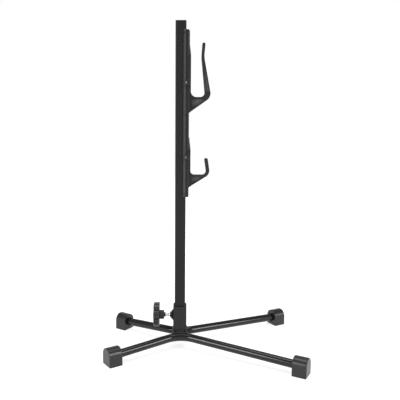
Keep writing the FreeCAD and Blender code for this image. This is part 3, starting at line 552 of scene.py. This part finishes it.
def sleeve_welds():
    """Four fillet beads: a profile between a quarter round and a chamfer, carried along a side.

    The leg of the fillet is the weld size times an end taper times the ripple; the scales bow
    along the bead's middle.
    """
    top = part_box("base_plate")[1][2]
    along = np.linspace(-1, 1, SLEEVE_WELD_ROWS)[:, None]
    across = np.linspace(0, 1, SLEEVE_WELD_COLUMNS)[None]
    taper = np.sqrt(np.clip(1 - np.abs(along) ** SLEEVE_WELD_BLUNT, SLEEVE_WELD_TIP, 1))
    bow = SLEEVE_WELD_BOW * (across - 0.5) ** 2
    ripple = scallops(along * SLEEVE_WELD_RIPPLES / 2, bow)
    leg = SLEEVE_WELD * taper * (1 - SLEEVE_WELD_SCALE * (1 - ripple))
    slant = across * math.pi / 2
    out = leg * np.cos(slant) ** FILLET_FLATNESS
    up = leg * np.sin(slant) ** FILLET_FLATNESS
    out = np.hstack([np.full((len(along), 1), -WELD_SINK), out - WELD_SINK * (across == 1)])
    up = np.hstack([np.full((len(along), 1), -WELD_SINK), up - WELD_SINK * (across == 0)])
    shells = []
    for number in range(4):
        turn = number * math.pi / 2
        outward = np.array([math.cos(turn), math.sin(turn), 0])
        sideways = np.array([-math.sin(turn), math.cos(turn), 0])
        grid = (POST_AXIS + [0, 0, top] + outward * (SLEEVE_HALF + out[..., None])
                + sideways * (SLEEVE_WELD_HALF * along)[..., None] + np.array([0, 0, 1]) * up[..., None])
        shells.append(weave(grid))
    formed("sleeve_weld_beads", shells, "sleeve_weld", sharp=70)


sleeve_welds()

NUT_WELD_FOOT = 15 * MM
NUT_WELD_TOP = 8.6 * MM
NUT_WELD_HEIGHT = 5.5 * MM
NUT_HALF_FLATS = 6.5 * MM
NUT_WELD_RIPPLES = 30
NUT_WELD_ROWS, NUT_WELD_COLUMNS = 288, 25
NUT_WELD_BOW = 1.6
NUT_WELD_SWELL = 0.7
NUT_WELD_FLARE, NUT_WELD_RISE = 0.9, 1.1
NUT_WELD_SCALE_OUT = 0.45 * MM
NUT_WELD_SCALE_UP = 0.25 * MM
NUT_WELD_BRIM = 0.96


def nut_weld():
    """A ring of weld round the hexagon nut: a flaring profile turned about the nut's axis.

    The radius falls from the toe to the crown along a hollow curve, with bowed scales round the
    ring; the inner side follows the hexagon, half flats / cos(angle from the nearest flat).
    """
    low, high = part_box("nut_weld")
    face, height = high[0], (low[2] + high[2]) / 2
    angle = np.linspace(0, 2 * math.pi, NUT_WELD_ROWS, endpoint=False)[:, None]
    climb = np.linspace(0, 1, NUT_WELD_COLUMNS)[None]
    bow = NUT_WELD_BOW * (climb - 0.5) ** 2
    ripple = scallops(angle / (2 * math.pi) * NUT_WELD_RIPPLES, bow)
    swell = np.sin(math.pi * climb) ** NUT_WELD_SWELL
    radius = NUT_WELD_FOOT + (NUT_WELD_TOP - NUT_WELD_FOOT) * climb ** NUT_WELD_FLARE
    radius = radius - NUT_WELD_SCALE_OUT * swell * (1 - ripple) + 0 * angle
    depth = NUT_WELD_HEIGHT * climb ** NUT_WELD_RISE - NUT_WELD_SCALE_UP * swell * (1 - ripple)
    from_flat = (angle % (math.pi / 3)) - math.pi / 6
    hexagon = NUT_HALF_FLATS / np.cos(from_flat)
    radius = np.hstack([radius, hexagon - WELD_SINK, hexagon - WELD_SINK, 0 * angle + NUT_WELD_FOOT])
    depth = np.hstack([depth, 0 * angle + NUT_WELD_HEIGHT * NUT_WELD_BRIM, 0 * angle - WELD_SINK,
                       0 * angle - WELD_SINK])
    grid = np.stack([face - depth, radius * np.sin(angle), height + radius * np.cos(angle)], axis=-1)
    formed("nut_weld_ring", [weave(grid, wrap_rows=True)], "nut_weld", sharp=70)


nut_weld()

# ------------------------------------------------------------------ studio

FOCAL_PIXELS = 503.66
CENTRE_PIXEL = (178.65, 199.03)
EYE = Vector((-0.04389, -1.1915, 0.49531))
YAW, PITCH, ROLL = -0.01393, 0.11247, 0.00369
SENSOR = 36.0

camera_data = bpy.data.cameras.new("camera")
camera_data.sensor_width = SENSOR
camera_data.lens = FOCAL_PIXELS * SENSOR / IMAGE
camera_data.shift_x = (IMAGE / 2 - CENTRE_PIXEL[0]) / IMAGE
camera_data.shift_y = (CENTRE_PIXEL[1] - IMAGE / 2) / IMAGE
camera_data.clip_start, camera_data.clip_end = 0.02, 60.0
camera = bpy.data.objects.new("camera", camera_data)
camera.location = EYE
gaze = Vector((math.sin(YAW) * math.cos(PITCH), math.cos(YAW) * math.cos(PITCH), -math.sin(PITCH)))
camera.rotation_mode = "QUATERNION"
camera.rotation_quaternion = Quaternion(gaze, -ROLL) @ gaze.to_track_quat("-Z", "Y")
bpy.context.scene.collection.objects.link(camera)
bpy.context.scene.camera = camera


def softbox(name, place, aim, size, power):
    """Square area lamp that faces a point."""
    data = bpy.data.lights.new(name, "AREA")
    data.shape = "RECTANGLE"
    data.size, data.size_y = size
    data.energy = power
    lamp = bpy.data.objects.new(name, data)
    lamp.location = place
    lamp.rotation_mode = "QUATERNION"
    lamp.rotation_quaternion = (Vector(aim) - Vector(place)).to_track_quat("-Z", "Y")
    bpy.context.scene.collection.objects.link(lamp)


softbox("top_box", place=(0.0, 0.15, 1.9), aim=(0, 0.05, 0.2), size=(1.3, 0.9), power=14)
softbox("left_box", place=(-1.75, -1.45, 1.05), aim=(0, 0, 0.25), size=(0.8, 0.9), power=28)
softbox("right_box", place=(2.0, -1.1, 1.1), aim=(0, 0, 0.25), size=(0.8, 0.9), power=28)

WORLD_LIGHT = 0.36
SWEEP_TOP, CEILING_START, CEILING_LEVEL = 0.22, 0.50, 0.30
WHITE = (1, 1, 1, 1)


def studio_world():
    """White to the camera; in mirrored rays white low down, like a sweep, and a dim ceiling above."""
    world = bpy.data.worlds.new("studio")
    bpy.context.scene.world = world
    g = Graph(world)
    seen = g.ray("Camera").either(g.ray("Transmission"))
    upward = g.node("SeparateXYZ", None, g.node("TexCoord", output="Generated"), output="Z")
    mirrored = g.ramp(upward, SWEEP_TOP, CEILING_START, 1.0, CEILING_LEVEL)
    light = g.node("Background", None, Color=WHITE, Strength=WORLD_LIGHT)
    shown = g.node("Background", None, Color=WHITE, Strength=mirrored.either(seen))
    g.surface("OutputWorld", g.node("MixShader", None, seen.either(g.ray("Glossy")), light, shown))


FLOOR_HALF = 6.0
FLOOR_PAINT = (0.55, 0.55, 0.55, 1)
FLOOR_NEAR, FLOOR_FAR, FLOOR_GLOW = 0.35, 1.1, 0.72


def studio_floor():
    """Pale floor that keeps the object's shadow and goes to plain white away from it."""
    corner = FLOOR_HALF
    mesh = bpy.data.meshes.new("floor")
    mesh.from_pydata(
        [(-corner, -corner, 0), (corner, -corner, 0), (corner, corner, 0), (-corner, corner, 0)],
        [], [(0, 1, 2, 3)])
    floor = bpy.data.objects.new("floor", mesh)
    bpy.context.scene.collection.objects.link(floor)
    finish = bpy.data.materials.new("floor_white")
    g = Graph(finish)
    seen = g.ray("Camera").either(g.ray("Glossy"))
    away = g.node("VectorMath", {"operation": "LENGTH"}, g.node("TexCoord", output="Object"), output="Value")
    glow = g.ramp(away, FLOOR_NEAR, FLOOR_FAR, FLOOR_GLOW, 1.0) * seen
    paint = g.node("BsdfDiffuse", None, Color=FLOOR_PAINT)
    g.surface("OutputMaterial", g.node("AddShader", None, paint,
                                       g.node("Emission", None, Color=WHITE, Strength=glow)))
    mesh.materials.append(finish)


studio_world()
studio_floor()

bpy.context.scene.view_settings.view_transform = "Standard"
